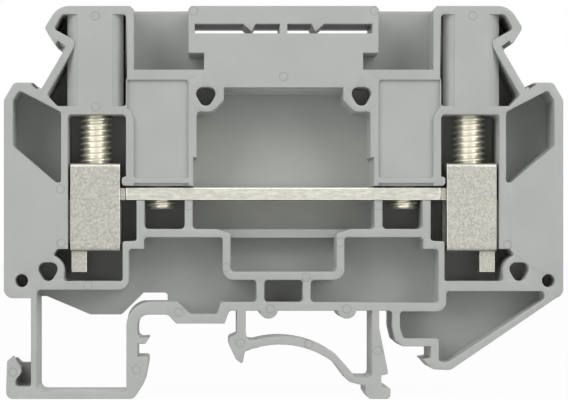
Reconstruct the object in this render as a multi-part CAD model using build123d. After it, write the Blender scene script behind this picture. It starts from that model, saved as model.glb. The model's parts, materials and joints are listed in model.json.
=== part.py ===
from build123d import *
import math
import os

# Rail-mounted screw terminal block, 8.2 mm wide, with one open side and two rising-cage clamps.
# X runs along the conductors, Y through the thickness with the open side at -Y, and Z up from
# the seat of the mounting rail. Lengths are in millimetres, angles in degrees.
# Depths are counted from the open side. Sizes named half_ or _x are distances from the centre plane.

# Housing as a whole
thickness = 8.2
half_length = 33.6
top_level = 40.9
foot_level = -6.3
rear_wall = 1.2
wall = 0.96
floor_wall = 1.02
corner_radius = 0.45
cut_overrun = 1
join = 0.1

# Label block in the middle and the recesses for plug-in bridges beside it
core_half = 11.43
recess_width = 6.54
recess_depth = 5.8
block_corner = 0.35
tower_corner = 0.45
shelf_level = 33.25
shelf_thickness = 1.25
undercut_width = 1.87
undercut_height = 2.0
slot_height = 1.13
slot_drop = 2.17
slot_inner_x = 0.46
slot_end_wall = 0.78
slot_tooth_x = 3.85
slot_tooth_height = 0.9
slot_tooth_width = 1.5

# Towers over the clamps, with the marker notch in their outer flanks
lip_reach = 6.07
lip_drop = 2.65
lip_wall = 1.3
flank_slope_width = 1.65
notch_reach = 3.75
notch_drop = 5.35
notch_bulge_reach = 4.97
notch_bulge_drop = 4.42
marker_groove_start = 0.15
marker_groove_length = 1.1
marker_groove_height = 0.5
shoulder_groove_start = 0.4
shoulder_groove_length = 0.75
shoulder_groove_height = 0.35
marker_groove_depth = 6.4
shoulder_inset = 4.52
shoulder_drop = 9.95
shoulder_top_drop = 9.2
shoulder_rise_width = 1.0
shoulder_end_width = 1.22
shoulder_slope_drop = 2.1

# Clamps: tool tube, screw, clamp chamber and cage
tube_wall = 1.19
tube_side_wall = 0.63
head_clearance = 0.1
shaft_clearance = 0.3
thread_radius = 1.95
thread_pitch = 0.7
thread_clearance = 0.06
screw_head_radius = 2.45
screw_head_height = 2.2
screw_slot_width = 0.9
screw_slot_depth = 1.1
screw_point_radius = 1.3
screw_point_height = 0.7
screw_gap = 0.02
cage_length = 5.96
cage_height = 10.62
cage_wall = 0.85
cage_block = 2.9
cage_bend = 0.8
cage_seat_gap = 0.05
cage_turns = 7
cage_headroom = 0.9
cage_gap_inner = 0.74
cage_gap_outer = 0.28
cage_gap_front = 0.4
cage_gap_rear = 0.8
cage_tab_length = 1.84
cage_tab_drop = 2.5
cage_tab_end_gap = 0.1
cage_tab_clearance = 1.07
guide_nose = 0.49
guide_nose_height = 1.15

# Current bar and the screws in it
bar_level = 17.6
bar_thickness = 1.5
bar_width = 5.0
bar_overhang = 0.12
bar_corner = 0.25
neck_gap = 0.25
neck_end_gap = 0.71
bar_gap_below = 0.05
bar_gap_above = 0.2
bar_relief = 0.3
bar_relief_depth = 0.5
bar_gap_behind = 0.4
bar_screw_radius = 1.75
bar_screw_proud = 1.05
bar_screw_end_chamfer = 0.3
bar_screw_head_radius = 2.3
bar_screw_head_height = 2.0
bridge_bore_gap = 0.15
head_room = 0.3
panel_recess = 0.35
panel_foot_level = 20.2

# Conductor funnels in the ends
funnel_mouth_top = 22.6
funnel_mouth_bottom = 11.5
funnel_skin = 0.85
funnel_mouth_corner = 1.2
funnel_throat_corner = 0.35
throat_step = 0.12
throat_side = 0.15

# Side pockets under the marker shoulders
side_wall = 0.82
side_pocket_depth = 6.2
side_pocket_end_wall = 1.1
side_pocket_corner_width = 0.75
side_pocket_corner_drop = 1.2
side_pocket_toe = 0.6
side_pocket_rise = 0.3
side_pocket_top = 30.75
side_pocket_low = 24.1
side_pocket_foot = 19.7

# Centre pocket above the bar and well below it
centre_top_level = 31.08
centre_top_half = 7.15
centre_shelf_level = 28.2
centre_web = 1.4
centre_half = 10.43
centre_step_level = 22.7
centre_step = 0.42
ceiling_step = 0.24
ceiling_step_depth = 1.6
screw_pocket_outer = 2.0
screw_pocket_inner = 2.82
pocket_floor_level = 14.12
well_shoulder_x = 8.1
well_half = 6.36
well_slope_drop = 0.55
well_floor_level = 9.0
cross_rib_depth = 4.2

# Base with its cored pockets
base_floor_level = 5.35
base_wall = 1.06
base_pocket_depth = 5.0
core_pocket_depth = 4.6
hook_pocket_depth = 4.5
core_pocket_half = 2.3
pocket_side_step = 0.35
pocket_shoulder_level = 11.7
core_corner = 1.3

# Sockets and pegs that line up neighbouring blocks
upper_peg_x = 9.34
upper_peg_level = 30.14
lower_peg_inset = 2.39
lower_peg_level = 9.08
socket_radius = 1.22
socket_lobe_offset = 0.42
socket_depth = 4.0
boss_radius = 1.97
blind_hole_left_inset = 2.14
blind_hole_right_inset = 1.8
blind_hole_level = 7.9
blind_hole_radius = 0.77
peg_radius = 1.0
peg_length = 1.8

# Foot for the 35 mm rail: fixed jaw on the left, sprung hook on the right
rail_width = 35.1
rim_gap = 1.35
jaw_play = 0.3
jaw_lip = 1.3
leg_inset = 3.25
leg_thickness = 0.72
sole_thickness = 0.88
sole_end_x = 18.0
arm_inner_x = 18.88
arm_bend = 3.2
arm_level = 5.4
arm_thickness = 1.58
hook_leg_x = 13.03
hook_leg_thickness = 0.95
hook_foot_level = -2.85

# Seat, finger and leaf arch for the narrower 32 mm rail
inner_seat_level = 2.75
inner_seat_left_x = 12.9
inner_seat_right_x = 7.1
finger_x = 5.62
finger_thickness = 1.08
arch_centre_x = -0.42
arch_centre_level = -10.35
arch_radius = 11.55
arch_thickness = 0.97
arch_leg_x = 10.6
arch_leg_thickness = 0.88
bumper_left_x = -1.81
bumper_right_x = 7.61
bumper_radius = 1.15

# Release tab at the left end
tab_reach = 3.0
tab_top_level = -1.5
tab_wall = 0.75
tab_web = 1.6

# Levels and stations that follow from the sizes above
floor_depth = thickness - rear_wall
open_side = -thickness / 2
recess_side = core_half + recess_width
bar_screw_x = core_half + recess_width / 2
chamber_inner = recess_side + wall
clamp_x = chamber_inner + cage_gap_inner + cage_length / 2
chamber_outer = clamp_x + cage_length / 2 + cage_gap_outer
rib_outer_x = bar_screw_x + screw_pocket_outer
rib_inner_x = bar_screw_x - screw_pocket_inner - wall
pocket_side_x = chamber_inner - pocket_side_step
lip_x = clamp_x + lip_reach
notch_x = clamp_x + notch_reach
notch_bulge_x = clamp_x + notch_bulge_reach
shoulder_x = half_length - shoulder_inset
lower_peg_x = chamber_outer + lower_peg_inset
leg_x = half_length - leg_inset
cage_depth = floor_depth - cage_gap_front - cage_gap_rear
cage_inside = cage_depth - 2 * cage_wall
clamp_depth = cage_gap_front + cage_depth / 2
bar_half = chamber_inner + bar_overhang
neck_half = chamber_outer - neck_end_gap
neck_width = cage_inside - 2 * neck_gap
bar_top = bar_level + bar_thickness
rib_top = bar_level - bar_gap_below
channel_top = bar_top + bar_gap_above
cage_rest_top = bar_top + cage_seat_gap + cage_block
cage_low = cage_rest_top - cage_height
cage_travel = cage_turns * thread_pitch
ceiling_level = cage_rest_top + cage_travel + cage_headroom
tube_floor_level = ceiling_level + floor_wall
chamber_floor_level = cage_low - cage_tab_drop - cage_tab_clearance
head_seat_radius = screw_head_radius + head_clearance
tool_bore_radius = screw_head_radius + shaft_clearance
tube_radius = tool_bore_radius + tube_wall
tube_half_width = tool_bore_radius + tube_side_wall
bridge_bore_radius = bar_screw_head_radius + bridge_bore_gap
throat_height = bar_level - cage_low - cage_wall - throat_step
throat_width = cage_inside + 2 * throat_side
lip_level = top_level - lip_drop
notch_level = top_level - notch_drop
shoulder_level = top_level - shoulder_drop
base_bottom = base_floor_level - base_wall
rail_half = rail_width / 2


def profile(corners, radius=corner_radius):
    """A closed front-view face. A corner is (x, z), or (x, z, its own radius)."""
    points = [Vector(corner[0], corner[1]) for corner in corners]
    radii = []
    for i, corner in enumerate(corners):
        back = points[i - 1] - points[i]
        ahead = points[(i + 1) % len(points)] - points[i]
        half_turn = math.radians(180 - back.get_angle(ahead)) / 2
        room = 0.48 * min(back.length, ahead.length) / math.tan(half_turn)
        radii.append(min(corner[2] if len(corner) > 2 else radius, room))
    return make_face(FilletPolyline(*points, radius=radii, close=True))


def symmetric(right_side):
    """Corners of a shape that is the same on both sides, from those of its right side."""
    left_side = [(-corner[0], *corner[1:]) for corner in reversed(right_side)]
    return right_side + left_side


def both(shape):
    """A shape on the right of the centre plane, and its mirror image."""
    return [shape, mirror(shape, Plane.YZ)]


def slab(face, near, far):
    """A front-view face given substance between two depths behind the open side."""
    plane = Plane((0, open_side + far, 0), x_dir=(1, 0, 0), z_dir=(0, -1, 0))
    return extrude(plane * face, far - near)


def upright(radius, low, high, x, depth):
    """A vertical cylinder."""
    height = high - low
    return Pos(x, open_side + depth, low + height / 2) * Cylinder(radius, height)


def block(x1, x2, near, far, low, high):
    """A box between two stations, two depths and two levels."""
    size = (x2 - x1, far - near, high - low)
    middle = ((x1 + x2) / 2, open_side + (near + far) / 2, (low + high) / 2)
    return Pos(*middle) * Box(*size)


def upper_outline():
    """Front view of the moulding above the base, the same on both sides."""
    shoulder_top = top_level - shoulder_top_drop
    right_side = [
        (lip_x - flank_slope_width, top_level, 2.4),
        (lip_x, lip_level, 0.6),
        (notch_bulge_x, top_level - notch_bulge_drop, 0.3),
        (notch_x, notch_level, 0.25),
        (shoulder_x, shoulder_level, 0),
        (shoulder_x + shoulder_rise_width, shoulder_top, 0.4),
        (half_length - shoulder_end_width, shoulder_top, 0.7),
        (half_length, shoulder_top - shoulder_slope_drop, 1.2),
        (half_length, blind_hole_level - 2.1, 1.1),
        (leg_x, blind_hole_level - 2.1, 0),
        (leg_x, chamber_floor_level - floor_wall, 0),
    ]
    return profile(symmetric(right_side))


def tab_outline():
    """Release tab, where a blade levers the foot off the rail."""
    outer = leg_x + tab_reach
    return profile(
        [
            (-leg_x + 0.3, tab_top_level - 0.25, 0),
            (-leg_x - 0.75, tab_top_level - 0.3, 0.3),
            (-leg_x - 1.95, tab_top_level + 0.15, 0),
            (-outer + 0.12, tab_top_level - 0.7, 0.4),
            (-outer, foot_level, 0.8),
            (-leg_x + 0.3, foot_level, 0),
        ]
    )


def left_foot_outline():
    """Leg, sole and arm of the fixed jaw, filled in: its window is cut later."""
    jaw_floor = -rim_gap + 0.16
    return profile(
        [
            (-leg_x, chamber_floor_level, 0),
            (-leg_x, foot_level, 0),
            (-sole_end_x, foot_level, 0.9),
            (-rail_half + 0.85, foot_level + 1.95, 2.2),
            (-rail_half + jaw_lip, -rim_gap - 0.7, 1.2),
            (-rail_half + jaw_lip, jaw_floor, 0.3),
            (-rail_half, jaw_floor, 0),
            (-rail_half, jaw_play, 0),
            (-rail_half + 0.95, jaw_play, 0.3),
            (-rail_half + 1.5, jaw_play + 0.85, 0.15),
            (-rail_half, jaw_play + 0.65, 1.15),
            (-rail_half, arm_level - arm_thickness, 1.35),
            (-inner_seat_left_x - 1.0, arm_level - arm_thickness, 0.6),
            (-inner_seat_left_x, inner_seat_level, 0),
            (-inner_seat_right_x, inner_seat_level, 0),
            (-inner_seat_right_x + 0.6, base_bottom, 0.4),
            (-finger_x, base_bottom, 0),
            (-finger_x, chamber_floor_level, 0),
        ]
    )


def right_foot_outline():
    """Thin leg and hook that snap under the rail's other rim."""
    right_end = half_length
    end_level = blind_hole_level - 1.5
    return profile(
        [
            (hook_leg_x - 0.4, chamber_floor_level, 0),
            (hook_leg_x - 0.4, base_bottom, 0),
            (hook_leg_x, base_bottom - 0.15, 0.3),
            (hook_leg_x, 2.3, 2.0),
            (hook_leg_x + 0.37, 0.75, 0.4),
            (hook_leg_x + 1.25, 0, 0.3),
            (rail_half + 0.13, 0, 0),
            (rail_half + 0.13, -rim_gap, 0),
            (rail_half - 0.8, -rim_gap - 0.17, 0),
            (rail_half + 0.35, hook_foot_level + 0.1, 0.8),
            (rail_half + 2.5, hook_foot_level, 1.2),
            (right_end, end_level, 1.3),
            (right_end, chamber_floor_level + 1.0, 0),
        ]
    )


def base_outline():
    """Beam under the clamp chambers and the well, with two round bumpers under it."""
    beam = profile(
        [
            (-finger_x - 0.5, chamber_floor_level, 0),
            (-finger_x - 0.5, base_bottom, 0),
            (hook_leg_x + 0.2, base_bottom, 0),
            (hook_leg_x + 0.2, chamber_floor_level, 0),
        ]
    )
    for x in (bumper_left_x, bumper_right_x):
        beam += Pos(x, base_bottom + 0.2) * Circle(bumper_radius)
    return beam


def arch_outline():
    """Finger, leaf arch and leg that hold the narrower rail and spring the foot."""
    finger = profile(
        [
            (-finger_x + finger_thickness, base_floor_level, 0),
            (-finger_x, base_floor_level, 0),
            (-finger_x, 1.5, 0),
            (-finger_x - 0.95, 1.1, 0.45),
            (-finger_x - 0.98, 0.3, 0.5),
            (-finger_x - 0.1, -1.55, 0.6),
            (-finger_x + 0.55, -2.05, 0.3),
            (-finger_x + 0.75, -1.85, 0),
            (-finger_x + 1.0, -0.5, 0.6),
            (-finger_x + 2.6, -0.12, 0),
            (-finger_x + 2.6, 0.5, 0),
            (-finger_x + 2.1, 0.77, 0),
            (-finger_x + finger_thickness + 0.1, 0.82, 0.6),
            (-finger_x + finger_thickness, 1.8, 0),
        ]
    )
    inner_radius = arch_radius - arch_thickness
    ring = Circle(arch_radius) - Circle(inner_radius)
    arc_end_x = arch_leg_x - 4.3
    span = arc_end_x + finger_x - 1.2
    window = Pos(arc_end_x - span / 2, 0) * Rectangle(span, 9.4)
    arch = (Pos(arch_centre_x, arch_centre_level) * ring) & window
    leg_outer = arch_leg_x + arch_leg_thickness
    leg = profile(
        [
            (arch_leg_x, base_floor_level, 0),
            (arch_leg_x, foot_level + 2.6, 0.5),
            (arch_leg_x - 1.9, foot_level + 2.6, 0.5),
            (arc_end_x - 0.1, foot_level + 5.43, 0),
            (arc_end_x - 0.1, foot_level + 4.2, 0),
            (arch_leg_x - 2.8, foot_level + 2.05, 1.2),
            (arch_leg_x - 1.2, foot_level + 1.65, 0),
            (arch_leg_x - 0.75, foot_level + 1.6, 0),
            (arch_leg_x - 0.75, foot_level + 0.75, 0),
            (arch_leg_x - 0.3, foot_level, 0.3),
            (leg_outer + 1.35, foot_level, 0.5),
            (leg_outer + 1.38, foot_level + 1.35, 0.4),
            (leg_outer + 0.27, foot_level + 1.5, 0),
            (leg_outer + 0.27, foot_level + 2.8, 0),
            (leg_outer + 1.05, foot_level + 3.0, 0),
            (leg_outer + 1.05, foot_level + 3.3, 0),
            (leg_outer, 2.3, 3.0),
            (leg_outer, base_floor_level, 0),
        ]
    )
    return finger + arch + leg


def bridge_recess():
    """Recess open to the front and the top, with an undercut at its foot."""
    return profile(
        [
            (core_half - block_corner, top_level + cut_overrun, 0),
            (core_half - block_corner, top_level, 0),
            (core_half, top_level - block_corner, 0.2),
            (core_half, shelf_level + undercut_height, 0),
            (core_half - undercut_width, shelf_level + undercut_height, 0),
            (core_half - undercut_width, shelf_level, 0),
            (recess_side, shelf_level, 0),
            (recess_side, top_level - tower_corner, 0.3),
            (recess_side + tower_corner, top_level, 0),
            (recess_side + tower_corner, top_level + cut_overrun, 0),
        ]
    )


def tower_chamber():
    """Hollow of a tower, which leaves its ribs and the tool tube standing."""
    return profile(
        [
            (chamber_inner, top_level - floor_wall, 0.35),
            (lip_x - flank_slope_width - 0.45, top_level - floor_wall, 0.6),
            (lip_x - lip_wall + 0.15, lip_level - 0.1, 0.3),
            (notch_x - lip_wall - 0.05, notch_level + 1.2, 0.35),
            (notch_x - lip_wall + 0.05, notch_level + 0.4, 0.4),
            (shoulder_x - 0.68, shoulder_level - 0.75, 0.35),
            (side_slope_x(tube_floor_level) - 1.35, tube_floor_level, 0.3),
            (chamber_inner, tube_floor_level, 0.35),
        ]
    )


def side_slope_x(level):
    """Station of the side pocket's sloping roof at a level."""
    roof_end_x = half_length - side_pocket_end_wall - side_pocket_corner_width
    rise = (side_pocket_top - ceiling_level) / (roof_end_x - chamber_outer - side_wall)
    return roof_end_x - (side_pocket_top - level) / rise


def side_pocket():
    """Pocket between the marker shoulder and the roof of the conductor funnel."""
    outer = half_length - side_pocket_end_wall
    inner = chamber_outer + side_wall
    return profile(
        [
            (outer - side_pocket_corner_width, side_pocket_top, 0.4),
            (outer, side_pocket_top - side_pocket_corner_drop, 0.5),
            (outer, side_pocket_low, 0.5),
            (inner + side_pocket_toe, side_pocket_foot, 0.4),
            (inner, side_pocket_foot, 0.35),
            (inner, ceiling_level + side_pocket_rise, 0.5),
        ]
    )


def clamp_chamber():
    """Space in which a cage rises and falls."""
    guide = chamber_inner + guide_nose
    nose_top = channel_top + guide_nose_height
    under_bar = rib_outer_x + wall
    lower_side = chamber_inner + 0.4
    boss_side = lower_peg_x - boss_radius
    return profile(
        [
            (chamber_outer, ceiling_level, 0.4),
            (chamber_inner, ceiling_level, 0.5),
            (chamber_inner, nose_top, 0),
            (guide, nose_top - 0.15, 0.5),
            (guide, channel_top, 0.4),
            (under_bar, channel_top, 0),
            (under_bar, cage_low + 1.28, 0.3),
            (lower_side, cage_low + 1.18, 0.25),
            (lower_side, chamber_floor_level, 0.3),
            (boss_side + 0.03, chamber_floor_level, 0.3),
            (boss_side + 0.03, chamber_floor_level + 1.0, 0),
            (boss_side + 1.25, chamber_floor_level + 1.7, 0),
            (boss_side + 1.25, pocket_shoulder_level - 0.6, 0.3),
            (boss_side + 0.85, pocket_shoulder_level, 0.4),
            (chamber_outer, pocket_shoulder_level, 0),
        ]
    )


def screw_panel():
    """Shallow recess in the skin that closes the shaft of a bar screw."""
    return profile(
        [
            (chamber_inner - 0.14, shelf_level - shelf_thickness, 0),
            (core_half, shelf_level - shelf_thickness, 0.4),
            (core_half, panel_foot_level, 0.4),
            (recess_side, panel_foot_level, 0.4),
            (recess_side, tube_floor_level - 1.6, 0),
            (recess_side + 0.35, tube_floor_level - 0.7, 0.8),
            (chamber_inner - 0.14, tube_floor_level - 0.2, 0.3),
        ]
    )


def centre_pocket(top):
    """Pocket over the bar, where the roof stands at the given level."""
    return profile(
        symmetric(
            [
                (centre_top_half, top, 0),
                (centre_top_half, centre_shelf_level + centre_web, 0.3),
                (centre_top_half + centre_web, centre_shelf_level, 0.9),
                (centre_half, centre_shelf_level, 0.4),
                (centre_half, centre_step_level, 0),
                (centre_half + centre_step, centre_step_level, 0),
                (centre_half + centre_step, rib_top, 0),
            ]
        )
    )


def core_pocket():
    """Pocket under the middle of the well."""
    top = well_floor_level - floor_wall
    return profile(symmetric([(core_pocket_half, top), (core_pocket_half, base_floor_level)]))


def well():
    """Hollow under the bar."""
    return profile(
        symmetric(
            [
                (rib_inner_x, bar_top, 0),
                (rib_inner_x, pocket_floor_level, 0.45),
                (well_shoulder_x, pocket_floor_level, 0.8),
                (well_half, pocket_floor_level - well_slope_drop, 0.3),
                (well_half, well_floor_level, 0.45),
            ]
        )
    )


def rib_pocket():
    """Space for the end of a bar screw, between the ribs under the bar."""
    inner = rib_inner_x + wall
    return profile(
        [
            (inner, bar_top, 0),
            (inner, pocket_floor_level, 0.5),
            (rib_outer_x, pocket_floor_level, 0.5),
            (rib_outer_x, bar_top, 0),
        ]
    )


def core_pocket_corners():
    """Walls that the left and right pockets of the base share, from the beam up and outwards."""
    top = pocket_floor_level - floor_wall
    return [
        (core_pocket_half + wall, base_floor_level, 0.45),
        (core_pocket_half + wall, well_floor_level - floor_wall, 0.45),
        (well_half + wall, well_floor_level - floor_wall, core_corner),
        (well_half + wall, top, 0.35),
        (rib_outer_x + 0.05, top, 0.4),
        (rib_outer_x + 0.05, pocket_shoulder_level, 0),
    ]


def left_pocket():
    """Left pocket of the base, which runs on into the window of the left foot."""
    body_bottom = chamber_floor_level - floor_wall - 0.05
    outer = leg_x - leg_thickness
    right = [(-corner[0], *corner[1:]) for corner in core_pocket_corners()]
    return profile(
        right
        + [
            (-pocket_side_x, pocket_shoulder_level, 0.4),
            (-pocket_side_x, body_bottom, 1.2),
            (-outer, body_bottom, 0.4),
            (-outer, foot_level + sole_thickness, 0.8),
            (-arm_inner_x, foot_level + sole_thickness, 0.3),
            (-arm_inner_x, arm_level, arm_bend),
            (-inner_seat_left_x + 0.15, arm_level, 0.3),
            (-inner_seat_left_x + 1.7, inner_seat_level + 1.15, 0.4),
            (-inner_seat_right_x - 0.85, inner_seat_level + 1.15, 0.4),
            (-inner_seat_right_x - 0.45, base_floor_level, 0.35),
        ]
    )


def left_window():
    """The part of the left foot's window that goes right through."""
    outer = leg_x - leg_thickness
    return profile(
        [
            (-outer, 5.95, 0),
            (-outer + 0.85, 5.95, 0.3),
            (-outer + 6.2, 3.7, 0.3),
            (-arm_inner_x - 0.75, 3.7, 0.4),
            (-arm_inner_x + 1.95, arm_level + 0.97, 0),
            (-14.0, arm_level + 0.97, 0.4),
            (-14.0, arm_level - 0.01, 0),
            (-arm_inner_x, arm_level - 0.01, arm_bend),
            (-arm_inner_x, foot_level + sole_thickness, 0.3),
            (-outer, foot_level + sole_thickness, 0.8),
        ]
    )


def right_pocket():
    """Right pocket of the base."""
    return profile(
        core_pocket_corners()
        + [
            (pocket_side_x, pocket_shoulder_level, 0.4),
            (pocket_side_x, base_floor_level - 0.1, 0.4),
        ]
    )


def hook_pocket():
    """Pocket in the sloping end over the hook."""
    inner = hook_leg_x + hook_leg_thickness
    upright_x = rail_half + 1.1
    slope_x = pocket_side_x + wall
    return profile(
        [
            (slope_x, base_floor_level + 1.28, 0.4),
            (slope_x, base_bottom - 0.1, 1.2),
            (inner, base_bottom - 0.1, 0.4),
            (inner, 2.2, 1.5),
            (inner + 0.45, 0.96, 0.4),
            (upright_x, 0.96, 0.3),
            (upright_x, hook_foot_level + 1.0, 0.4),
            (rail_half + 2.2, hook_foot_level + 1.0, 0.5),
            (half_length - 2.2, base_floor_level + 0.45, 0.5),
            (half_length - 2.4, base_floor_level + 1.28, 0.4),
        ]
    )


def label_slot():
    """Slot for a marker strip, with a gripping tooth in its roof."""
    outer = core_half - slot_end_wall
    roof = top_level - slot_drop
    return profile(
        [
            (slot_inner_x, roof, 0),
            (slot_inner_x, roof - slot_height, 0),
            (outer, roof - slot_height, 0),
            (outer, roof, 0),
            (slot_tooth_x + slot_tooth_width - 0.5, roof, 0),
            (slot_tooth_x, roof - slot_tooth_height, 0),
            (slot_tooth_x - 0.5, roof, 0),
        ]
    )


def edge_groove(start, end, first, last, height):
    """A groove along the edge from start to end, cut to its left, or to its right if height is negative."""
    ahead = (Vector(*end) - Vector(*start)).normalized()
    inward = Vector(-ahead.Y, ahead.X)
    near, far = Vector(*start) + ahead * first, Vector(*start) + ahead * last
    outside = inward * -height
    corners = [near + outside, far + outside, far + inward * height, near + inward * height]
    return profile([(corner.X, corner.Y, 0) for corner in corners])


def marker_grooves():
    """Small grooves beside the notch and on the shoulder, which a marker clips into."""
    bulge = (notch_bulge_x, top_level - notch_bulge_drop)
    shoulder_top = (shoulder_x + shoulder_rise_width, top_level - shoulder_top_drop)
    upper = edge_groove((notch_x, notch_level), bulge, marker_groove_start,
                        marker_groove_start + marker_groove_length, marker_groove_height)
    lower = edge_groove((shoulder_x, shoulder_level), shoulder_top, shoulder_groove_start,
                        shoulder_groove_start + shoulder_groove_length, -shoulder_groove_height)
    return upper + lower


def release_slot():
    """Slot in which the tip of a screwdriver catches."""
    outer = leg_x + tab_reach - tab_wall
    return profile(
        [
            (-leg_x, tab_top_level - 0.1, 0),
            (-outer - 0.05, tab_top_level + 0.5, 0),
            (-outer - 0.05, tab_top_level - 0.25, 0),
            (-outer + 0.85, tab_top_level - 1.3, 0.4),
            (-outer + 0.85, tab_top_level - 1.9, 0.4),
            (-outer + 0.4, tab_top_level - 2.6, 0),
            (-outer + 0.4, foot_level + 1.5, 0.3),
            (-leg_x, foot_level + 1.5, 0.3),
        ]
    )


def trilobe():
    """Rounded three-sided socket, with its point down."""
    lobes = [
        Pos(socket_lobe_offset * math.cos(math.radians(angle)),
            socket_lobe_offset * math.sin(math.radians(angle)))
        * Circle(socket_radius - socket_lobe_offset)
        for angle in (30, 150, 270)
    ]
    return make_hull(lobes[0].edges() + lobes[1].edges() + lobes[2].edges())


def funnel():
    """Conductor entry, wide at the end face and narrowing to the cage."""
    throat_x = chamber_outer - join / 10
    mouth_x = half_length + join / 10
    mouth_height = funnel_mouth_top - funnel_mouth_bottom
    mouth_width = floor_depth - funnel_skin
    mouth_middle = (
        mouth_x,
        open_side + funnel_skin + mouth_width / 2,
        (funnel_mouth_top + funnel_mouth_bottom) / 2,
    )
    throat_middle = (throat_x, open_side + clamp_depth, bar_level - throat_height / 2)
    mouth_plane = Plane(mouth_middle, x_dir=(0, 1, 0), z_dir=(1, 0, 0))
    throat_plane = Plane(throat_middle, x_dir=(0, 1, 0), z_dir=(1, 0, 0))
    mouth = Rectangle(mouth_width, mouth_height)
    mouth = mouth_plane * chamfer(mouth.vertices(), funnel_mouth_corner)
    throat = Rectangle(throat_width, throat_height)
    throat = throat_plane * chamfer(throat.vertices(), funnel_throat_corner)
    sides = loft([throat, mouth], ruled=True).faces()
    return Solid(Shell([Face(side.outer_wire()) for side in sides]))


def tool_tube():
    """Tube that leads a screwdriver to the clamp screw, flat where it meets the open side."""
    low, high = tube_floor_level - join, top_level - floor_wall / 2
    round_part = upright(tube_radius, low, high, clamp_x, clamp_depth)
    inner, outer = clamp_x - tube_half_width, clamp_x + tube_half_width
    front_part = round_part & block(inner, outer, 0, clamp_depth, low, high)
    return front_part + block(inner, outer, clamp_depth, floor_depth + join, low, high)


def rear_peg(x, level):
    """Peg that lines up with the socket of the neighbouring block."""
    middle = (x, thickness / 2 + (peg_length - join) / 2, level)
    return Plane(middle, z_dir=(0, 1, 0)) * Cylinder(peg_radius, peg_length + join)


def housing():
    """The whole moulding: outline, pockets, windows, tubes, bores, sockets and pegs."""
    body = slab(upper_outline(), 0, thickness)
    for outline in (
        left_foot_outline(),
        right_foot_outline(),
        base_outline(),
        arch_outline(),
        tab_outline(),
    ):
        body += slab(outline, 0, thickness)

    pockets = [
        slab(left_pocket(), -cut_overrun, base_pocket_depth),
        slab(right_pocket(), -cut_overrun, base_pocket_depth),
        slab(hook_pocket(), -cut_overrun, hook_pocket_depth),
        slab(core_pocket(), -cut_overrun, core_pocket_depth),
        slab(well(), -cut_overrun, floor_depth),
        slab(centre_pocket(centre_top_level), -cut_overrun, ceiling_step_depth),
        slab(centre_pocket(centre_top_level - ceiling_step), -cut_overrun, 2 * ceiling_step_depth),
        slab(centre_pocket(centre_top_level - 2 * ceiling_step), -cut_overrun, floor_depth),
        slab(left_window(), -cut_overrun, thickness + cut_overrun),
        slab(release_slot(), -cut_overrun, thickness - tab_web),
    ]
    paired = [
        slab(bridge_recess(), -cut_overrun, recess_depth),
        slab(tower_chamber(), -cut_overrun, floor_depth),
        slab(side_pocket(), -cut_overrun, side_pocket_depth),
        slab(clamp_chamber(), -cut_overrun, floor_depth),
        slab(screw_panel(), -cut_overrun, panel_recess),
        slab(rib_pocket(), -cut_overrun, floor_depth),
        slab(label_slot(), -cut_overrun, thickness + cut_overrun),
        slab(marker_grooves(), -cut_overrun, marker_groove_depth),
    ]
    for pocket in paired:
        pockets += both(pocket)
    body -= pockets

    added = [block(-well_shoulder_x, well_shoulder_x, cross_rib_depth, floor_depth + join,
                   pocket_floor_level - floor_wall, pocket_floor_level)]
    added += both(tool_tube())
    for x, level in ((upper_peg_x, upper_peg_level), (lower_peg_x, lower_peg_level)):
        added += both(slab(Pos(x, level) * Circle(boss_radius), 0, floor_depth + join))
        added += both(rear_peg(x, level))
    body += added

    bar_half_room = chamber_inner + guide_nose
    bar_back = clamp_depth + bar_width / 2 + bar_gap_behind
    cuts = [block(-bar_half_room, bar_half_room, -cut_overrun, bar_back, rib_top, channel_top)]
    cuts += both(block(core_half, recess_side, -cut_overrun, bar_relief_depth,
                       bar_top, channel_top + bar_relief))
    head_top = bar_top + bar_screw_head_height + head_room
    head_half = bar_screw_head_radius + head_room
    for x, level in ((upper_peg_x, upper_peg_level), (lower_peg_x, lower_peg_level)):
        cuts += both(slab(Pos(x, level) * trilobe(), -cut_overrun, socket_depth))
    for x in (blind_hole_left_inset - half_length, half_length - blind_hole_right_inset):
        hole = Pos(x, blind_hole_level) * Circle(blind_hole_radius)
        cuts.append(slab(hole, -cut_overrun, socket_depth))
    cuts += both(funnel())
    head_seat_top = tube_floor_level + screw_head_height + head_room
    cuts += both(upright(head_seat_radius, tube_floor_level, head_seat_top, clamp_x, clamp_depth))
    cuts += both(upright(tool_bore_radius, head_seat_top, top_level + cut_overrun,
                         clamp_x, clamp_depth))
    cuts += both(upright(thread_radius + 2 * thread_clearance, ceiling_level - join,
                         tube_floor_level + join, clamp_x, clamp_depth))
    cuts += both(upright(bridge_bore_radius, head_top, shelf_level + join, bar_screw_x, clamp_depth))
    cuts += both(block(bar_screw_x - head_half, bar_screw_x + head_half,
                       clamp_depth - bridge_bore_radius, clamp_depth + head_half,
                       bar_top, head_top))
    return body - cuts


def current_bar():
    """Stamped bar with a narrower neck at each end and two threaded holes."""
    body = block(-bar_half, bar_half, clamp_depth - bar_width / 2, clamp_depth + bar_width / 2,
                 bar_level, bar_top)
    body = fillet(body.edges().filter_by(Axis.Z), bar_corner)
    neck = block(-neck_half, neck_half, clamp_depth - neck_width / 2,
                 clamp_depth + neck_width / 2, bar_level, bar_top)
    neck = chamfer(neck.edges().filter_by(Axis.Z), bar_corner)
    bar = body + neck
    for hole in both(upright(bar_screw_radius, bar_level - cut_overrun, bar_top + cut_overrun,
                             bar_screw_x, clamp_depth)):
        bar -= hole
    return bar


def slotted_head(radius, height, top, x):
    """Cheese head with a screwdriver slot across it."""
    head = upright(radius, top - height, top, x, clamp_depth)
    slot = block(x - radius - cut_overrun, x + radius + cut_overrun,
                 clamp_depth - screw_slot_width / 2, clamp_depth + screw_slot_width / 2,
                 top - screw_slot_depth, top + cut_overrun)
    return head - slot


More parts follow.
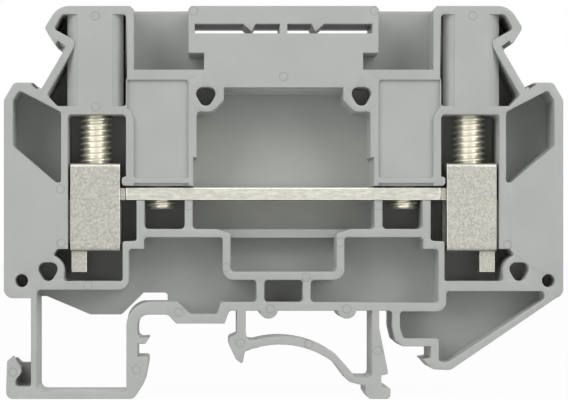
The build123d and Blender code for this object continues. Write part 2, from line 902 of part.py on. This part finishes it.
def clamp_screw(side):
    """Screw that turns in the ceiling with its point on the bar, and lifts the cage."""
    x = side * clamp_x
    seat = tube_floor_level + screw_gap
    tip = bar_top + screw_gap
    point_top = tip + screw_point_height
    shank = upright(thread_radius, point_top, seat, x, clamp_depth)
    point = upright(screw_point_radius, tip, point_top, x, clamp_depth)
    head = slotted_head(screw_head_radius, screw_head_height, seat + screw_head_height, x)
    return head + shank + point


def clamp_cage(side):
    """Folded steel cage: a square loop with a thick threaded top and a tab below."""
    x1 = side * clamp_x - cage_length / 2
    x2 = x1 + cage_length
    near, far = clamp_depth - cage_depth / 2, clamp_depth + cage_depth / 2
    top = cage_low + cage_height
    outside = block(x1, x2, near, far, cage_low, top)
    outside = fillet(outside.edges().filter_by(Axis.X), cage_bend)
    inside = block(x1 - cut_overrun, x2 + cut_overrun, near + cage_wall, far - cage_wall,
                   cage_low + cage_wall, top - cage_block)
    thread = upright(thread_radius + thread_clearance, top - cage_block - cut_overrun,
                     top + cut_overrun, side * clamp_x, clamp_depth)
    outer_end = max(abs(x1), abs(x2)) - cage_tab_end_gap
    tab_ends = sorted((side * outer_end, side * (outer_end - cage_tab_length)))
    tab = block(*tab_ends, near + cage_wall, far - cage_wall, cage_low - cage_tab_drop,
                cage_low + cage_wall / 2)
    return outside - inside - thread + tab


def bar_screw(side):
    """Screw that clamps a bridge or test socket onto the bar; its end shows below."""
    x = side * bar_screw_x
    seat = bar_top
    tip = bar_level - bar_screw_proud
    shank = upright(bar_screw_radius, tip, seat, x, clamp_depth)
    shank = chamfer(shank.edges().filter_by(GeomType.CIRCLE).sort_by(Axis.Z)[0],
                    bar_screw_end_chamfer)
    head = slotted_head(bar_screw_head_radius, bar_screw_head_height,
                        seat + bar_screw_head_height, x)
    return shank + head


os.makedirs("parts", exist_ok=True)
pieces = {"housing": housing(), "current_bar": current_bar()}
for name, side in (("left", -1), ("right", 1)):
    pieces[f"clamp_screw_{name}"] = clamp_screw(side)
    pieces[f"clamp_cage_{name}"] = clamp_cage(side)
    pieces[f"bar_screw_{name}"] = bar_screw(side)
for name, piece in pieces.items():
    export_step(piece, f"parts/{name}.step")
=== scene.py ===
"""Looks of a rail-mounted screw terminal block: a grey moulding, open to the front, and plated metal."""
import json
import math

import bpy
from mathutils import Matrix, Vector


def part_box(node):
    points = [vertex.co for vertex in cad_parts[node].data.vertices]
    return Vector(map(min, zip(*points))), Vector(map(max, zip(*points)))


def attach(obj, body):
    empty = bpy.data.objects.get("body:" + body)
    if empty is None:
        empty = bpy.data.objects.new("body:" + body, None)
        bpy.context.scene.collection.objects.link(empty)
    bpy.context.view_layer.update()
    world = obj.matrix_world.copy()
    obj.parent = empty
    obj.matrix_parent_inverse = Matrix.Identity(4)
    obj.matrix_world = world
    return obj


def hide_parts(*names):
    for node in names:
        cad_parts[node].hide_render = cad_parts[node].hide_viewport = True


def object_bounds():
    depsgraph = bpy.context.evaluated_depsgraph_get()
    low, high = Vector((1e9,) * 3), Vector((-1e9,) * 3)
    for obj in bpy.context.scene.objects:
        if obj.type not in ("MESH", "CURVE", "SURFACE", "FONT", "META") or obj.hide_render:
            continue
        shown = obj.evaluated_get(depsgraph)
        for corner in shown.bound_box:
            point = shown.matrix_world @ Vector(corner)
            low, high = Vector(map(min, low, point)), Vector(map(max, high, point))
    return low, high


MM = 0.001
NEAR = 0.01 * MM
HAIR = 0.001 * MM
SHARP_ANGLE = math.radians(32)

# Moulding: rounds of its rims, how deep a rim may lie, and the thin wall behind each bridge recess
RIM_ROUND = 0.13 * MM
RIM_REACH = 0.5 * MM
RECESS_FLOOR = 1.7 * MM
RECESS_ROUND = 0.3 * MM

# Release tab: the tip of its arm stands higher, and the web behind its slot ends lower and level
TAB_REAR = 4.1 * MM
TAB_WEB_FRONT = 2.5 * MM
TAB_TIP_DEPTH = 1.1 * MM
TAB_TIP = (
    (-33.22, -2.5), (-33.2, -1.82), (-33.1, -1.66), (-32.48, -1.12), (-32.38, -1.14), (-32.19, -1.62),
    (-31.64, -2.46), (-31.5, -2.95), (-31.58, -3.25), (-31.95, -3.7), (-33.1, -3.7),
)
TAB_WEB_CUT = (
    (-33.4, -0.9), (-33.4, -1.5), (-32.65, -1.6), (-31.95, -2.23), (-30.36, -2.23), (-30.36, -0.9),
)
CUT_OVERRUN = 0.05 * MM

# Rings that the ejector pins leave in the rims of the open side: station and level in millimetres
PIN_MARK_RADIUS = 0.5 * MM
PIN_MARK_WIDTH = 0.11 * MM
PIN_MARK_DEPTH = 0.2 * MM
PIN_MARKS = (
    (-22.6, 39.7), (-22.6, 28.8), (-26.8, 18.9), (-26.7, 12.4), (-23.5, 7.3), (-32.5, -3.1),
    (-17.7, -2.8), (-12.6, 4.1), (-11.4, 16.9), (-10.8, 40.3), (-6.9, 9.5), (-5.2, 0.4),
    (-1.6, 4.5), (0.0, 32.4), (2.7, 8.3), (3.0, 0.3), (6.8, 12.5), (7.6, 4.5),
    (10.9, 40.3), (11.3, -0.5), (11.4, 16.9), (22.7, 39.7), (26.9, 12.2),
)

# Bar and cages: the broken edges, and the cages' bends as the solids have them and as they are drawn
BAR_EDGE = 0.12 * MM
CAGE_EDGE = 0.18 * MM
CAGE_BEND = 0.8 * MM
CAGE_BEND_DRAWN = 0.5 * MM
CAGE_TAB_DROP = 2.5 * MM

# Screws, in millimetres: radii at the thread's root and crest, its pitch, the height of the head and of
# the slope under it, and the plain end, as heights above its tip with the radius at each
CLAMP_SCREW = {
    "root": 1.52, "crest": 1.95, "pitch": 0.7, "head": 2.2, "under_head": 0.1,
    "end": ((0, 1.15), (0.15, 1.3), (0.7, 1.3)),
}
BAR_SCREW = {
    "root": 1.4, "crest": 1.75, "pitch": 0.6, "head": 2.0, "under_head": 0.6,
    "end": ((0, 1.3), (0.2, 1.45)),
}
SCREW_SIDES = 60
HEAD_EDGE = 0.25 * MM
SLOT_WIDTH = 0.9 * MM
SLOT_DEPTH = 1.1 * MM

# One pitch of thread from root to root: rise as a share of the pitch, reach from root to crest
THREAD_PROFILE = (
    (0, 0), (0.07, 0), (0.15, 0.1), (0.37, 0.9), (0.43, 1),
    (0.57, 1), (0.63, 0.9), (0.85, 0.1), (0.93, 0), (1, 0),
)

# Camera: it looks straight at the open side, from in front of one point of it
PIXELS_PER_MM = 8.33
PHOTO_WIDTH = 568
PHOTO_HEIGHT = 400
CENTRE_PLANE_PIXEL = 283.6
RAIL_SEAT_PIXEL = 346.5
EYE_PIXEL = (200, 250)
EYE_DISTANCE = 259 * MM
SENSOR_WIDTH = 36

# Light: name, angle to the right of the camera, angle above it, and power
LAMP_TARGET = Vector((0, 0, 17 * MM))
LAMP_DISTANCE = 1.0
LAMP_SIZE = 0.7
LAMPS = (
    ("left_softbox", -50, 18, 3.7),
    ("right_softbox", 50, 18, 3.7),
    ("high_left_softbox", -40, 44, 2.4),
    ("high_right_softbox", 40, 44, 2.4),
    ("top_softbox", 0, 55, 0.8),
    ("back_softbox", 180, 10, 1.8),
)

# Floor: its width, how far under the foot it lies, and how much of what is seen of it is plain white
FLOOR_WIDTH = 6.0
FLOOR_GAP = 0.01 * MM
FLOOR_WHITENESS = 0.97

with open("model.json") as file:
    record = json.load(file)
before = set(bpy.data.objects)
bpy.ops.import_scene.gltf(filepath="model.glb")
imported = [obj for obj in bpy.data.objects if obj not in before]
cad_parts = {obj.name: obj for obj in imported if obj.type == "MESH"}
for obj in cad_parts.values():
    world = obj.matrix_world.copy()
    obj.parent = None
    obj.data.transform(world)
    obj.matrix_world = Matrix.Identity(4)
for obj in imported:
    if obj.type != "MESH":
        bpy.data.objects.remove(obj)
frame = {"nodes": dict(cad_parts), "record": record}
cad_low, cad_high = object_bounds()
OPEN_SIDE = cad_low.y
FOOT_LEVEL = cad_low.z
TOP_LEVEL = cad_high.z


def linear(hex_colour):
    """A colour written as sRGB hex, as the linear values that a shader takes."""
    values = [int(hex_colour[i:i + 2], 16) / 255 for i in (1, 3, 5)]
    return [v / 12.92 if v <= 0.04045 else ((v + 0.055) / 1.055) ** 2.4 for v in values] + [1]


def add_node(tree, kind, values=None):
    """Adds a shader node. Another node's output is linked to it, and a value sets an input or a property."""
    node = tree.nodes.new(kind)
    for key, value in (values or {}).items():
        if isinstance(value, bpy.types.NodeSocket):
            tree.links.new(value, node.inputs[key])
        elif isinstance(key, int) or key in node.inputs:
            node.inputs[key].default_value = value
        else:
            setattr(node, key, value)
    return node


def maths(tree, operation, *values):
    """The result of an operation on numbers and other nodes' outputs."""
    node = add_node(tree, "ShaderNodeMath", {"operation": operation, **dict(enumerate(values))})
    return node.outputs[0]


def noise(tree, size, detail=2.0, stretch=(1, 1, 1)):
    """Noise whose grains measure size metres, from the piece's own coordinates, stretched along an axis."""
    place = add_node(tree, "ShaderNodeTexCoord")
    scale = [1 / (size * s) for s in stretch]
    mapping = add_node(tree, "ShaderNodeMapping", {"Vector": place.outputs["Object"], "Scale": scale})
    grains = add_node(tree, "ShaderNodeTexNoise",
                      {"Vector": mapping.outputs["Vector"], "Scale": 1.0, "Detail": detail})
    return grains.outputs["Fac"]


def blend(tree, share, first, second):
    """The first colour, and the second by the given share."""
    mix = add_node(tree, "ShaderNodeMix", {"data_type": "RGBA", 0: share, 6: first, 7: second})
    return mix.outputs[2]


def tint(tree, grains, dark, light, low=0.35, high=0.65):
    """Two colours mixed by a noise, with the noise's range from low to high spread over both."""
    spread = add_node(tree, "ShaderNodeMapRange", {"Value": grains, "From Min": low, "From Max": high})
    return blend(tree, spread.outputs["Result"], linear(dark), linear(light))


def bump(tree, grains, height):
    """Bump of that height in metres, from a noise."""
    return add_node(tree, "ShaderNodeBump", {"Distance": height, "Height": grains}).outputs["Normal"]


def pin_marks(tree):
    """One on the rings of the ejector pins in the open side, and zero elsewhere.

    The real rings are hair lines. They are drawn about a pixel wide, so that they show."""
    place = add_node(tree, "ShaderNodeTexCoord").outputs["Object"]
    flat = add_node(tree, "ShaderNodeVectorMath", {"operation": "MULTIPLY", 0: place, 1: (1, 0, 1)})
    nearest = None
    for x, z in PIN_MARKS:
        away = add_node(tree, "ShaderNodeVectorMath",
                        {"operation": "DISTANCE", 0: flat.outputs["Vector"], 1: (x * MM, 0, z * MM)})
        distance = away.outputs["Value"]
        nearest = maths(tree, "MINIMUM", nearest, distance) if nearest else distance
    offset = maths(tree, "ABSOLUTE", maths(tree, "SUBTRACT", nearest, PIN_MARK_RADIUS))
    ring = add_node(tree, "ShaderNodeMapRange",
                    {"Value": offset, "From Max": PIN_MARK_WIDTH, "To Min": 1, "To Max": 0})
    depth = add_node(tree, "ShaderNodeSeparateXYZ", {0: place})
    in_face = maths(tree, "LESS_THAN", depth.outputs["Y"], OPEN_SIDE + PIN_MARK_DEPTH)
    return maths(tree, "MULTIPLY", ring.outputs["Result"], in_face)


def empty_material(name):
    """A material with an empty tree of nodes, and that tree."""
    material = bpy.data.materials.new(name)
    material.use_nodes = True
    material.node_tree.nodes.clear()
    return material, material.node_tree


def principled(tree, values):
    """Gives a material its surface, a Principled shader with these values."""
    shader = add_node(tree, "ShaderNodeBsdfPrincipled", values)
    add_node(tree, "ShaderNodeOutputMaterial", {"Surface": shader.outputs["BSDF"]})


def grey_polyamide():
    """Polyamide 66, injection moulded: an even light grey, matt, with a faint spark-eroded grain."""
    material, tree = empty_material("grey_polyamide_moulded")
    plain = tint(tree, noise(tree, 6 * MM, 3), "#B0B2AF", "#B5B7B4")
    principled(tree, {
        "Base Color": blend(tree, pin_marks(tree), plain, linear("#9B9D99")),
        "Roughness": 0.55,
        "IOR": 1.53,
        "Specular IOR Level": 0.3,
        "Normal": bump(tree, noise(tree, 0.16 * MM, 3), 0.008 * MM),
    })
    return material


def zinc_plated_steel():
    """Folded steel strip, zinc plated in a barrel: pale, slightly green-grey, salt-and-pepper all over.

    The plating's spangle is finer than a pixel, and is drawn twice as coarse."""
    material, tree = empty_material("zinc_plated_strip")
    spangle = noise(tree, 0.24 * MM, 3)
    speckled = tint(tree, spangle, "#9D9D95", "#C7C7BD", 0.3, 0.7)
    cloud = maths(tree, "MULTIPLY", noise(tree, 1.3 * MM), 0.3)
    principled(tree, {
        "Base Color": blend(tree, cloud, speckled, linear("#C2BDB2")),
        "Metallic": 1.0,
        "Roughness": 0.42,
        "Normal": bump(tree, spangle, 0.003 * MM),
    })
    return material


def tinned_copper():
    """Copper alloy bar, stamped and tin-plated: brighter than the cages, its sheared edge streaked."""
    material, tree = empty_material("tin_plated_stamped_bar")
    streaks = noise(tree, 0.2 * MM, 3, (4, 1, 1))
    principled(tree, {
        "Base Color": tint(tree, streaks, "#BBBBAF", "#D9D9CD", 0.3, 0.7),
        "Metallic": 1.0,
        "Roughness": 0.42,
        "Normal": bump(tree, streaks, 0.003 * MM),
    })
    return material


def painted_highlight_plating():
    """Painted highlight for rounded edges and bends: plating drawn brighter than the faces, almost white."""
    material, tree = empty_material("plating_painted_highlight")
    principled(tree, {
        "Base Color": tint(tree, noise(tree, 0.5 * MM), "#E6E4D8", "#F6F4EA"),
        "Metallic": 1.0,
        "Roughness": 0.5,
    })
    return material


def nickel_plated_steel():
    """Rolled screw thread, nickel plated: satin, so that its flanks show soft bands of light and dark."""
    material, tree = empty_material("bright_plated_screw")
    principled(tree, {
        "Base Color": tint(tree, noise(tree, 0.8 * MM), "#E0DDCF", "#EAE7DB"),
        "Metallic": 1.0,
        "Roughness": 0.42,
    })
    return material


def deselect():
    """Leaves object mode with nothing selected."""
    if bpy.context.object and bpy.context.object.mode != "OBJECT":
        bpy.ops.object.mode_set(mode="OBJECT")
    bpy.ops.object.select_all(action="DESELECT")


def pick(piece):
    """Leaves object mode with one piece selected and active."""
    deselect()
    bpy.context.view_layer.objects.active = piece
    piece.select_set(True)


def start_edit(piece):
    """Picks one piece and opens it in edit mode with nothing selected in it."""
    pick(piece)
    bpy.ops.object.mode_set(mode="EDIT")
    bpy.ops.mesh.select_mode(type="EDGE")
    bpy.ops.mesh.select_all(action="DESELECT")


def copy_of(node, materials=(), flat_faces=True):
    """A copy of a CAD node with its loose triangles joined, and merged into flat faces if asked."""
    piece = bpy.data.objects.new(node + "_finished", frame["nodes"][node].data.copy())
    bpy.context.scene.collection.objects.link(piece)
    piece.data.materials.clear()
    for material in materials:
        piece.data.materials.append(material)
    pick(piece)
    bpy.ops.mesh.customdata_custom_splitnormals_clear()
    start_edit(piece)
    bpy.ops.mesh.select_all(action="SELECT")
    bpy.ops.mesh.remove_doubles(threshold=0.5 * HAIR)
    if flat_faces:
        bpy.ops.mesh.dissolve_limited(angle_limit=math.radians(0.5))
    bpy.ops.object.mode_set(mode="OBJECT")
    return piece


def round_edges(piece, width, chosen, segments=2, finish=-1):
    """Rounds the sharp edges for which chosen(first corner, second corner) is true.

    The rounds get the piece's material of that number, and otherwise that of the faces beside them."""
    start_edit(piece)
    bpy.ops.mesh.edges_select_sharp(sharpness=SHARP_ANGLE)
    bpy.ops.object.mode_set(mode="OBJECT")
    mesh = piece.data
    sharp = []
    for edge in mesh.edges:
        first, second = (mesh.vertices[i].co for i in edge.vertices)
        if edge.select and chosen(first, second):
            sharp.append(edge)
    for item in (*mesh.vertices, *mesh.edges, *mesh.polygons):
        item.select = False
    for edge in sharp:
        edge.select = True
        for index in edge.vertices:
            mesh.vertices[index].select = True
    bpy.ops.object.mode_set(mode="EDIT")
    bpy.ops.mesh.bevel(offset=width, segments=segments, clamp_overlap=True, loop_slide=False,
                       material=finish)
    bpy.ops.object.mode_set(mode="OBJECT")


def finish_piece(piece, node, material):
    """Shades a piece, gives it its material, and lets it stand for its CAD node on that node's body."""
    pick(piece)
    piece.data.validate()
    bpy.ops.object.transform_apply(location=True, rotation=True, scale=True)
    bpy.ops.object.shade_smooth_by_angle(angle=SHARP_ANGLE)
    flat = piece.modifiers.new("flat_faces_stay_flat", "WEIGHTED_NORMAL")
    flat.keep_sharp = True
    bpy.ops.object.modifier_apply(modifier=flat.name)
    if not piece.data.materials:
        piece.data.materials.append(material)
    bodies = frame["record"]["behaviour"]["bodies"]
    body = next(name for name, nodes in bodies.items() if node in nodes)
    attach(piece, body)
    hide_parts(node)


def combine(piece, other, operation):
    """Joins or cuts a piece with another, which is used up."""
    pick(piece)
    joint = piece.modifiers.new("joint", "BOOLEAN")
    joint.operation = operation
    joint.solver = "EXACT"
    joint.object = other
    bpy.ops.object.modifier_apply(modifier=joint.name)
    bpy.data.objects.remove(other)


def prism(name, corners, near, far):
    """A straight-sided block on an outline of (x, z) corners in millimetres, from near to far."""
    deselect()
    bpy.ops.mesh.primitive_circle_add(vertices=len(corners), radius=MM, fill_type="NGON")
    piece = bpy.context.object
    piece.name = name
    for vertex, (x, z) in zip(piece.data.vertices, corners):
        vertex.co = (x * MM, near, z * MM)
    bpy.ops.object.mode_set(mode="EDIT")
    bpy.ops.mesh.select_all(action="SELECT")
    bpy.ops.mesh.extrude_region_move(TRANSFORM_OT_translate={"value": (0, far - near, 0)})
    bpy.ops.mesh.select_all(action="SELECT")
    bpy.ops.mesh.normals_make_consistent(inside=False)
    bpy.ops.object.mode_set(mode="OBJECT")
    return piece


def lower_rim(piece, width, drop):
    """Insets the selected faces by a width, and sets the rim round them back by a drop.

    A corner that the inset threw far off is drawn in, and one that left the plane stays as it is."""
    mesh = piece.data
    bpy.ops.object.mode_set(mode="OBJECT")
    bpy.ops.object.mode_set(mode="EDIT")
    bpy.ops.mesh.inset(thickness=width, depth=0, use_even_offset=True)
    bpy.ops.object.mode_set(mode="OBJECT")
    corners = mesh.vertices
    farthest = 1.5 * width
    level = 0.2 * width
    outside = set()
    for edge in mesh.edges:
        first, second = (corners[i] for i in edge.vertices)
        if first.select == second.select:
            continue
        inner, outer = (first, second) if first.select else (second, first)
        away = inner.co - outer.co
        if abs(away.y) > level or outer.co.y > OPEN_SIDE + RIM_REACH:
            continue
        if away.length > farthest:
            inner.co = outer.co + away * (farthest / away.length)
        outside.add(outer.index)
    for index in outside:
        corners[index].co.y += drop
    bpy.ops.object.mode_set(mode="EDIT")


def in_recess_top(first, second):
    """True for an edge along the top of the thin wall behind a bridge recess."""
    return all(abs(end.y - RECESS_FLOOR) < NEAR and abs(end.z - TOP_LEVEL) < NEAR
               for end in (first, second))


def moulded_housing(material):
    """The housing with the rims of its open side rounded, as the tool leaves them."""
    piece = copy_of("housing", flat_faces=False)
    web = prism("above_the_web", TAB_WEB_CUT, TAB_WEB_FRONT - CUT_OVERRUN, TAB_REAR + CUT_OVERRUN)
    combine(piece, web, "DIFFERENCE")
    start_edit(piece)
    bpy.ops.object.mode_set(mode="OBJECT")
    corners = piece.data.vertices
    for face in piece.data.polygons:
        face.select = all(abs(corners[i].co.y - OPEN_SIDE) < NEAR for i in face.vertices)
    bpy.ops.object.mode_set(mode="EDIT")
    bpy.ops.mesh.select_mode(type="FACE")
    halfway = math.sqrt(0.5)
    lower_rim(piece, RIM_ROUND * (1 - halfway), RIM_ROUND)
    lower_rim(piece, RIM_ROUND * halfway, RIM_ROUND * (1 - halfway))
    combine(piece, prism("tab_tip", TAB_TIP, OPEN_SIDE, OPEN_SIDE + TAB_TIP_DEPTH), "UNION")
    round_edges(piece, RECESS_ROUND, in_recess_top, 3)
    finish_piece(piece, "housing", material)


def current_bar(material, edge):
    """The stamped bar with all its sharp edges broken, and a painted highlight on the rounds."""
    piece = copy_of("current_bar", (material, edge))
    # The rounds take material 1, the plating with the painted highlight
    round_edges(piece, BAR_EDGE, lambda first, second: True, finish=1)
    finish_piece(piece, "current_bar", material)


def clamp_cage(side, material, edge):
    """A folded cage whose bends are drawn as tight as the photographed ones, with its edges broken, and a
    painted highlight on bends and rounds.
    """
    node = f"clamp_cage_{side}"
    piece = copy_of(node, (material, edge))
    low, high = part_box(node)
    front, tab_top = low.y, low.z + CAGE_TAB_DROP
    tighter = CAGE_BEND_DRAWN / CAGE_BEND
    for corner_z, away in ((high.z, -1), (tab_top, 1)):
        start_edit(piece)
        bpy.ops.object.mode_set(mode="OBJECT")
        bend = Vector((0, front + CAGE_BEND, corner_z + away * CAGE_BEND))
        for vertex in piece.data.vertices:
            place = Vector((0, vertex.co.y, vertex.co.z)) - bend
            in_corner = place.y < HAIR and away * place.z < HAIR
            vertex.select = in_corner and place.length > CAGE_BEND - NEAR
        bpy.ops.object.mode_set(mode="EDIT")
        bpy.ops.transform.resize(value=(1, tighter, tighter), center_override=(0, front, corner_z))
        # The bend faces take material 1, the plating with the painted highlight
        piece.active_material_index = 1
        bpy.ops.object.material_slot_assign()

    def at_an_end_or_on_the_tab(first, second):
        at_end = abs(first.x - second.x) < HAIR and min(first.x - low.x, high.x - first.x) < HAIR
        on_tab = min(first.z, second.z) < tab_top - HAIR and max(first.z, second.z) < tab_top + HAIR
        return at_end or on_tab

    # The rounds on the ends and the tab take the plating with the painted highlight
    round_edges(piece, CAGE_EDGE, at_an_end_or_on_the_tab, 3, finish=1)
    finish_piece(piece, node, material)


def turned(name, x, y, stations):
    """A turned bar: a disc raised from station to station, where each is a level and a radius."""
    deselect()
    level, radius = stations[0]
    bpy.ops.mesh.primitive_circle_add(vertices=SCREW_SIDES, radius=radius, fill_type="NGON",
                                      location=(x, y, level))
    piece = bpy.context.object
    piece.name = name
    bpy.ops.object.mode_set(mode="EDIT")
    bpy.ops.mesh.select_mode(type="FACE")
    bpy.ops.mesh.select_all(action="SELECT")
    for (low, inner), (high, outer) in zip(stations, stations[1:]):
        bpy.ops.mesh.extrude_region_move(TRANSFORM_OT_translate={"value": (0, 0, high - low)})
        bpy.ops.transform.resize(value=(outer / inner, outer / inner, 1),
                                 center_override=(x, y, high))
    bpy.ops.mesh.select_all(action="SELECT")
    bpy.ops.mesh.normals_make_consistent(inside=False)
    bpy.ops.object.mode_set(mode="OBJECT")
    bpy.ops.object.transform_apply(location=True, rotation=True, scale=True)
    return piece


def threaded_shank(name, x, y, low, high, kind):
    """One pitch of a rolled V thread, screwed up the shank and cut square at both ends.

    The helix starts a pitch and a half too low, so that both cuts pass through whole thread."""
    root, crest, pitch = (kind[key] * MM for key in ("root", "crest", "pitch"))
    deselect()
    bpy.ops.mesh.primitive_circle_add(vertices=len(THREAD_PROFILE), radius=MM)
    piece = bpy.context.object
    piece.name = name
    start_edit(piece)
    bpy.ops.object.mode_set(mode="OBJECT")
    for vertex, (rise, reach) in zip(piece.data.vertices, THREAD_PROFILE):
        vertex.co = (root + (crest - root) * reach, 0, rise * pitch)
    closing_edge = {0, len(THREAD_PROFILE) - 1}
    for edge in piece.data.edges:
        edge.select = set(edge.vertices) == closing_edge
    bpy.ops.object.mode_set(mode="EDIT")
    bpy.ops.mesh.delete(type="EDGE_FACE")
    bpy.ops.object.mode_set(mode="OBJECT")
    helix = piece.modifiers.new("helix", "SCREW")
    helix.screw_offset = pitch
    helix.iterations = math.ceil((high - low) / pitch) + 2
    helix.steps = SCREW_SIDES
    helix.render_steps = SCREW_SIDES
    helix.use_merge_vertices = True
    helix.merge_threshold = HAIR
    bpy.ops.object.modifier_apply(modifier=helix.name)
    piece.location = (x, y, low - 1.5 * pitch)
    bpy.ops.object.transform_apply(location=True, rotation=True, scale=True)
    bpy.ops.object.mode_set(mode="EDIT")
    for level, drop_above in ((low, False), (high, True)):
        bpy.ops.mesh.select_all(action="SELECT")
        bpy.ops.mesh.bisect(plane_co=(x, y, level), plane_no=(0, 0, 1), use_fill=True,
                            clear_inner=not drop_above, clear_outer=drop_above)
    bpy.ops.mesh.select_all(action="SELECT")
    bpy.ops.mesh.remove_doubles(threshold=HAIR)
    bpy.ops.mesh.normals_make_consistent(inside=False)
    bpy.ops.object.mode_set(mode="OBJECT")
    return piece


def slotted_screw(node, kind, material):
    """A threaded screw with a cheese head and a driving slot, in the place of its CAD node."""
    low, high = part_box(node)
    x, y = (low.x + high.x) / 2, (low.y + high.y) / 2
    end = [(low.z + rise * MM, radius * MM) for rise, radius in kind["end"]]
    shank_low, end_radius = end[-1]
    under_head = kind["under_head"] * MM
    head_low = high.z - kind["head"] * MM
    head_radius = (high.x - low.x) / 2
    head = [(head_low, head_radius - under_head), (head_low + under_head + NEAR, head_radius),
            (high.z - HEAD_EDGE, head_radius), (high.z, head_radius - HEAD_EDGE)]
    piece = turned(node + "_threaded", x, y, head)
    deselect()
    bpy.ops.mesh.primitive_cube_add(size=1, location=(x, y, high.z),
                                    scale=(3 * head_radius, SLOT_WIDTH, 2 * SLOT_DEPTH))
    combine(piece, bpy.context.object, "DIFFERENCE")
    into_shank = kind["pitch"] * MM / 2
    point = turned(node + "_end", x, y, end + [(shank_low + into_shank, end_radius)])
    shank = threaded_shank(node + "_shank", x, y, shank_low, head_low + 2 * NEAR, kind)
    pick(piece)
    point.select_set(True)
    shank.select_set(True)
    bpy.ops.object.join()
    finish_piece(piece, node, material)


def seen_directly(tree):
    """One for what the camera sees, straight on, mirrored or through glass, and zero for passing light."""
    path = add_node(tree, "ShaderNodeLightPath")
    mirrored = maths(tree, "MAXIMUM", path.outputs["Is Camera Ray"], path.outputs["Is Glossy Ray"])
    return maths(tree, "MAXIMUM", mirrored, path.outputs["Is Transmission Ray"])


def stage():
    """Pale floor under the foot, almost white for the camera, so that the shadow on it stays faint."""
    deselect()
    bpy.ops.mesh.primitive_plane_add(size=FLOOR_WIDTH, location=(0, 0, FOOT_LEVEL - FLOOR_GAP))
    floor = bpy.context.object
    floor.name = "floor"
    material, tree = empty_material("pale_floor")
    matt = add_node(tree, "ShaderNodeBsdfDiffuse", {"Color": linear("#F2F2F2")})
    white = add_node(tree, "ShaderNodeEmission", {"Color": (1, 1, 1, 1), "Strength": 1.0})
    mix = add_node(tree, "ShaderNodeMixShader", {
        0: maths(tree, "MULTIPLY", seen_directly(tree), FLOOR_WHITENESS),
        1: matt.outputs["BSDF"],
        2: white.outputs["Emission"],
    })
    add_node(tree, "ShaderNodeOutputMaterial", {"Surface": mix.outputs["Shader"]})
    floor.data.materials.append(material)


def surroundings():
    """White for the camera and in reflections. The light on the object comes from the lamps alone."""
    world = bpy.data.worlds.new("studio")
    bpy.context.scene.world = world
    world.use_nodes = True
    tree = world.node_tree
    tree.nodes.clear()
    dark = add_node(tree, "ShaderNodeBackground", {"Color": (1, 1, 1, 1), "Strength": 0.0})
    white = add_node(tree, "ShaderNodeBackground", {"Color": (1, 1, 1, 1), "Strength": 1.0})
    mix = add_node(tree, "ShaderNodeMixShader", {
        0: seen_directly(tree),
        1: dark.outputs["Background"],
        2: white.outputs["Background"],
    })
    add_node(tree, "ShaderNodeOutputWorld", {"Surface": mix.outputs["Shader"]})


def softbox(name, turn, tilt, power):
    """A square area lamp on a sphere round the object, that looks at the object's middle."""
    turn, tilt = math.radians(turn), math.radians(tilt)
    away = Vector((math.sin(turn) * math.cos(tilt), -math.cos(turn) * math.cos(tilt), math.sin(tilt)))
    lamp = bpy.data.lights.new(name, "AREA")
    lamp.shape = "SQUARE"
    lamp.size = LAMP_SIZE
    lamp.energy = power
    holder = bpy.data.objects.new(name, lamp)
    bpy.context.scene.collection.objects.link(holder)
    holder.location = LAMP_TARGET + away * LAMP_DISTANCE
    holder.rotation_euler = (-away).to_track_quat("-Z", "Y").to_euler()


def camera():
    """Camera that looks straight at the open side, shifted to the photograph's frame."""
    eye_x = (EYE_PIXEL[0] - CENTRE_PLANE_PIXEL) / PIXELS_PER_MM * MM
    eye_z = (RAIL_SEAT_PIXEL - EYE_PIXEL[1]) / PIXELS_PER_MM * MM
    data = bpy.data.cameras.new("camera")
    data.sensor_width = SENSOR_WIDTH
    data.lens = SENSOR_WIDTH * EYE_DISTANCE / (PHOTO_WIDTH / PIXELS_PER_MM * MM)
    data.shift_x = (PHOTO_WIDTH / 2 - EYE_PIXEL[0]) / PHOTO_WIDTH
    data.shift_y = (EYE_PIXEL[1] - PHOTO_HEIGHT / 2) / PHOTO_WIDTH
    data.clip_start = 10 * MM
    holder = bpy.data.objects.new("camera", data)
    bpy.context.scene.collection.objects.link(holder)
    holder.location = (eye_x, OPEN_SIDE - EYE_DISTANCE, eye_z)
    holder.rotation_euler = (math.pi / 2, 0, 0)
    bpy.context.scene.camera = holder


polyamide = grey_polyamide()
zinc = zinc_plated_steel()
# Plating with a painted highlight, for the rounds of the bar and the rounds and bends of the cages
highlight_plating = painted_highlight_plating()
tin = tinned_copper()
nickel = nickel_plated_steel()

moulded_housing(polyamide)
current_bar(tin, highlight_plating)
for side in ("left", "right"):
    clamp_cage(side, zinc, highlight_plating)
    slotted_screw(f"clamp_screw_{side}", CLAMP_SCREW, nickel)
    slotted_screw(f"bar_screw_{side}", BAR_SCREW, nickel)

stage()
surroundings()
for lamp_name, turn, tilt, power in LAMPS:
    softbox(lamp_name, turn, tilt, power)
camera()

bpy.context.scene.view_settings.view_transform = "Standard"
